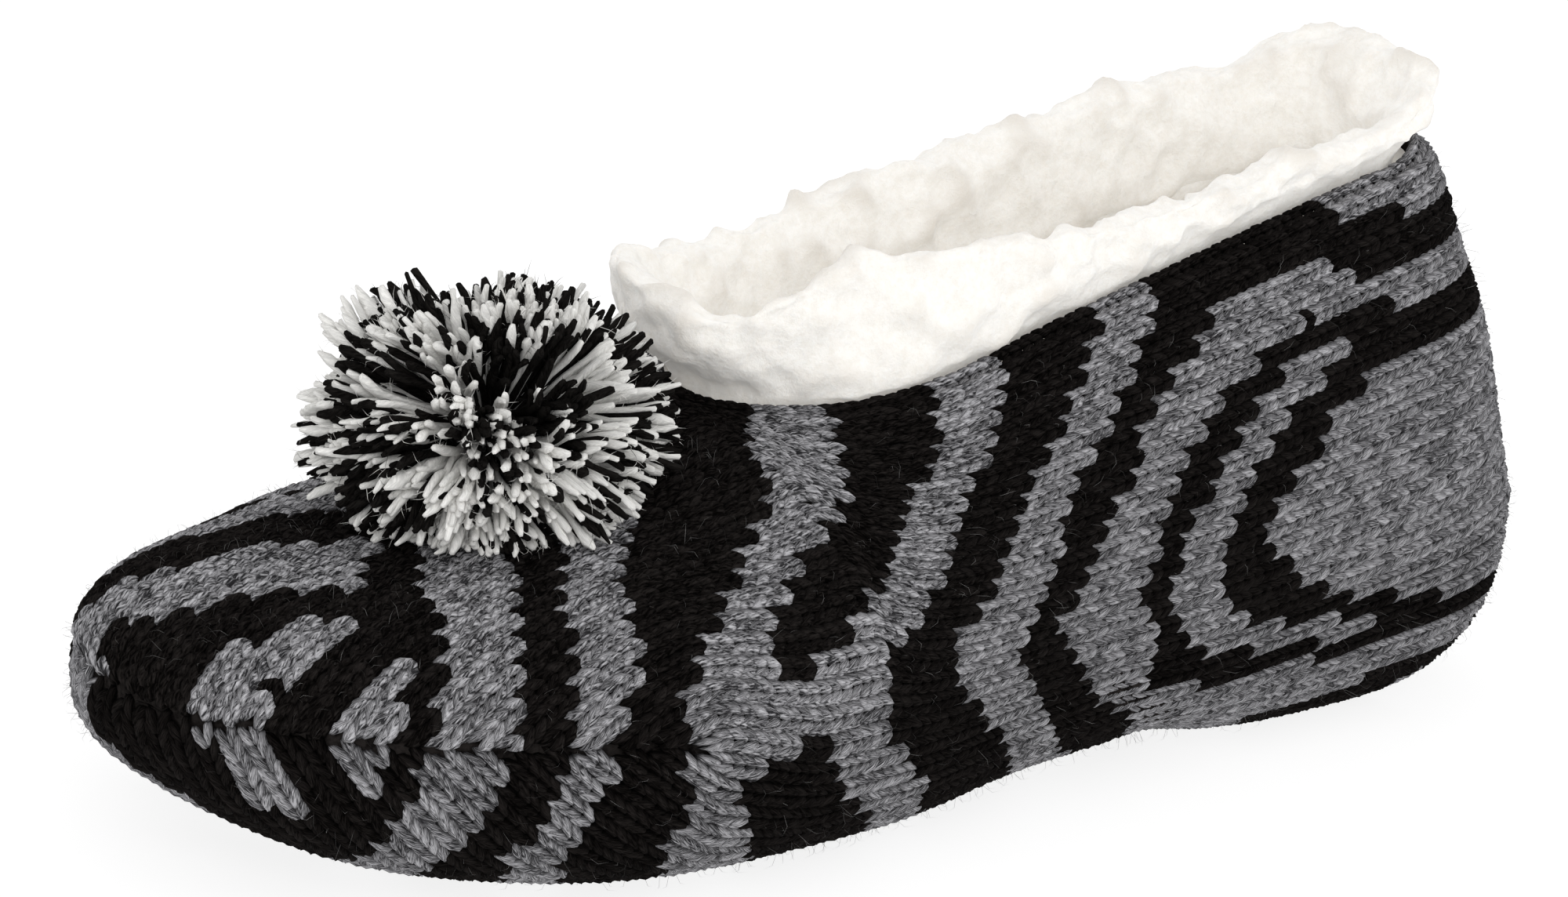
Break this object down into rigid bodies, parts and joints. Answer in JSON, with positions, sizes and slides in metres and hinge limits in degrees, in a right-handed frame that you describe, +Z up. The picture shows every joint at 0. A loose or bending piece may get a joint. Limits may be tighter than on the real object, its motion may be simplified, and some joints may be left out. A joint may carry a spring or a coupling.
{
  "type": "slipper sock",
  "caption": "Low slipper sock with a zebra-striped knitted upper and sole, white pile fleece collar and lining, and a cut-yarn pompom on the vamp.",
  "frame": {"origin": "on the floor under the middle of the slipper's overall box", "axes": "+X from toe to heel, +Y across the foot, +Z up from the floor"},
  "size_m": [0.245, 0.1046, 0.0953],
  "materials": {
    "zebra_knit": "brushed yarn",
    "sole_knit": "brushed yarn",
    "white_fleece": "pile",
    "footbed_fleece": "pile",
    "pompom_yarn": "cut yarn"
  },
  "bodies": {
    "root": {"knit_upper": "zebra_knit", "knit_sole": "sole_knit", "insole": "footbed_fleece", "sherpa_cuff": "white_fleece", "pompom": "pompom_yarn"}
  },
  "joints": []
}
